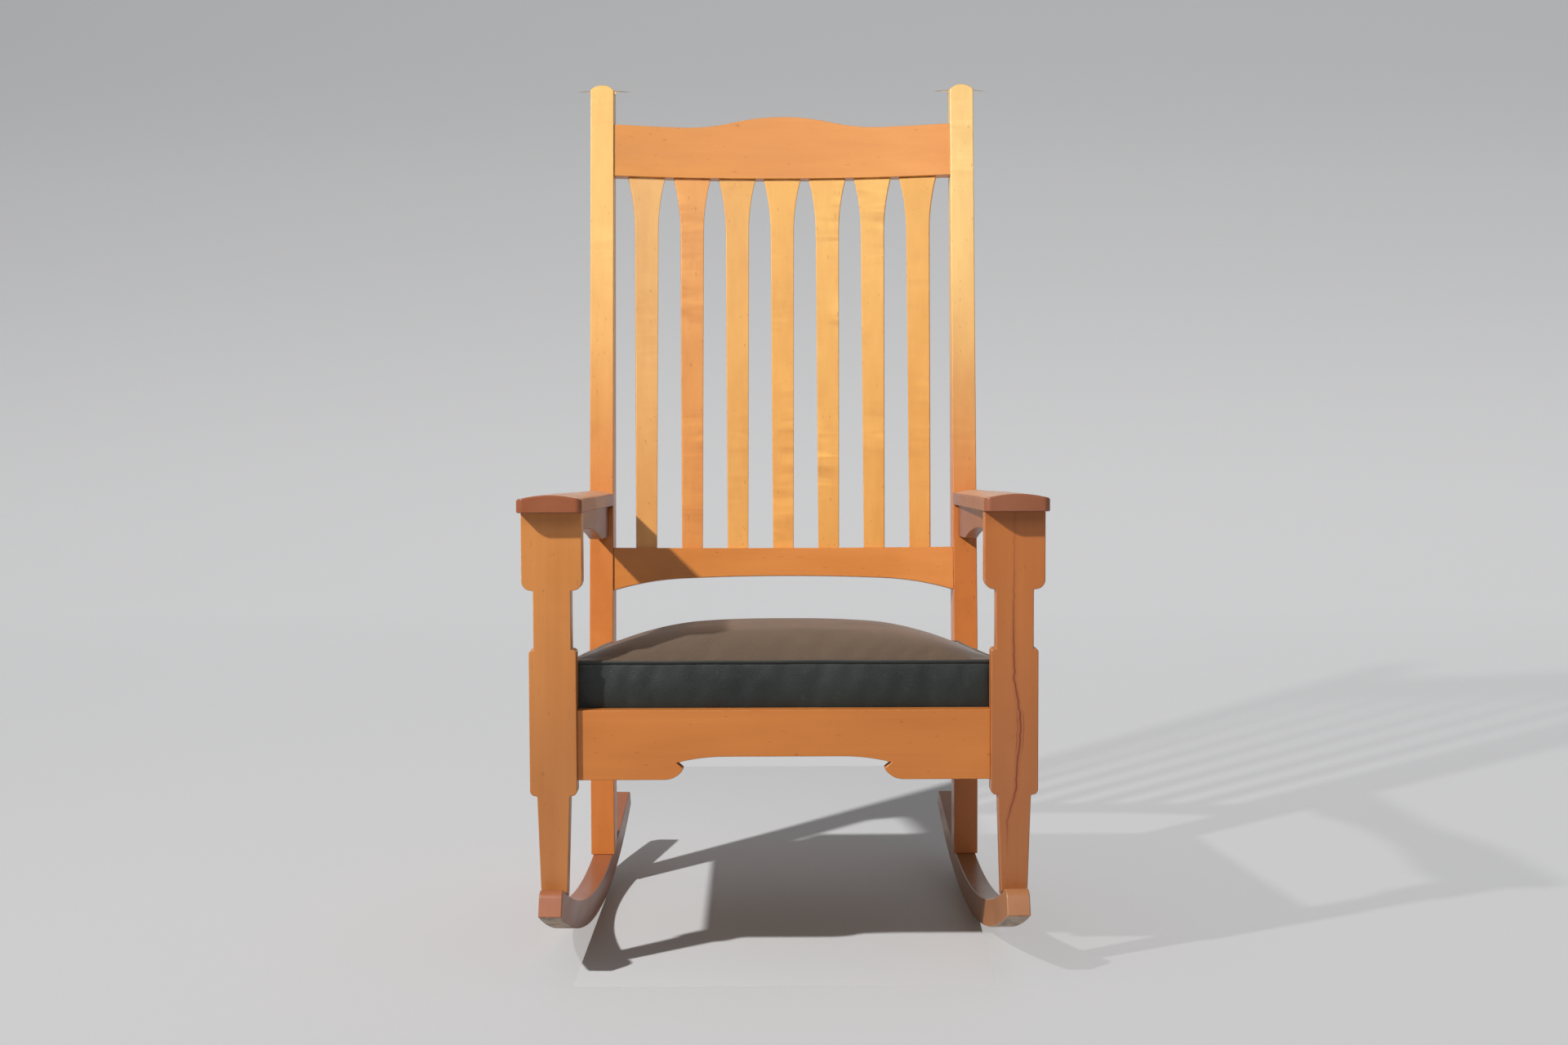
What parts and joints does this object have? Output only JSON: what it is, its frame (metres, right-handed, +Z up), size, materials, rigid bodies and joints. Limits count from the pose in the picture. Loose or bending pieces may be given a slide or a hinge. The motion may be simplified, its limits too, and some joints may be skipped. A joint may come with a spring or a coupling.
{
  "type": "rocking armchair",
  "caption": "High-backed wooden rocking armchair with upright splats, flat arms, curved rockers and a drop-in leather seat.",
  "frame": {"origin": "on the floor, in the middle of the chair's length and width", "axes": "+X to the right as seen from the front, +Y towards the back, +Z up; the sitter faces -Y"},
  "size_m": [0.6644, 0.7966, 1.1968],
  "materials": {
    "wood": "satin",
    "inner_wood": "matte",
    "leather": "satin",
    "webbing": "matte",
    "filling": "matte",
    "spring_steel": "satin",
    "screw_steel": "satin"
  },
  "bodies": {
    "chair": {"arm_apron_left": "wood", "arm_apron_right": "wood", "arm_left": "wood", "arm_plugs": "wood", "arm_right": "wood", "arm_screws": "screw_steel", "corner_block_front_left": "inner_wood", "corner_block_front_right": "inner_wood", "corner_block_rear_left": "inner_wood", "corner_block_rear_right": "inner_wood", "crest_rail": "wood", "front_leg_left": "wood", "front_leg_right": "wood", "lower_back_rail": "wood", "rear_post_left": "wood", "rear_post_right": "wood", "rocker_left": "wood", "rocker_right": "wood", "rocker_screws": "screw_steel", "seat_ledger_left": "inner_wood", "seat_ledger_right": "inner_wood", "seat_rail_front": "wood", "seat_rail_left": "wood", "seat_rail_rear": "wood", "seat_rail_right": "wood", "splat_1": "wood", "splat_2": "wood", "splat_3": "wood", "splat_4": "wood", "splat_5": "wood", "splat_6": "wood", "splat_7": "wood"},
    "seat": {"leather_cover": "leather", "seat_filling": "filling", "seat_frame_front": "inner_wood", "seat_frame_left": "inner_wood", "seat_frame_rear": "inner_wood", "seat_frame_right": "inner_wood", "seat_springs": "spring_steel", "seat_webbing": "webbing", "welt": "leather"}
  },
  "joints": [
    {"name": "seat_lift", "type": "slide", "parent": "chair", "child": "seat", "axis": [0, 0, 1], "range_m": [0, 0.09]}
  ]
}
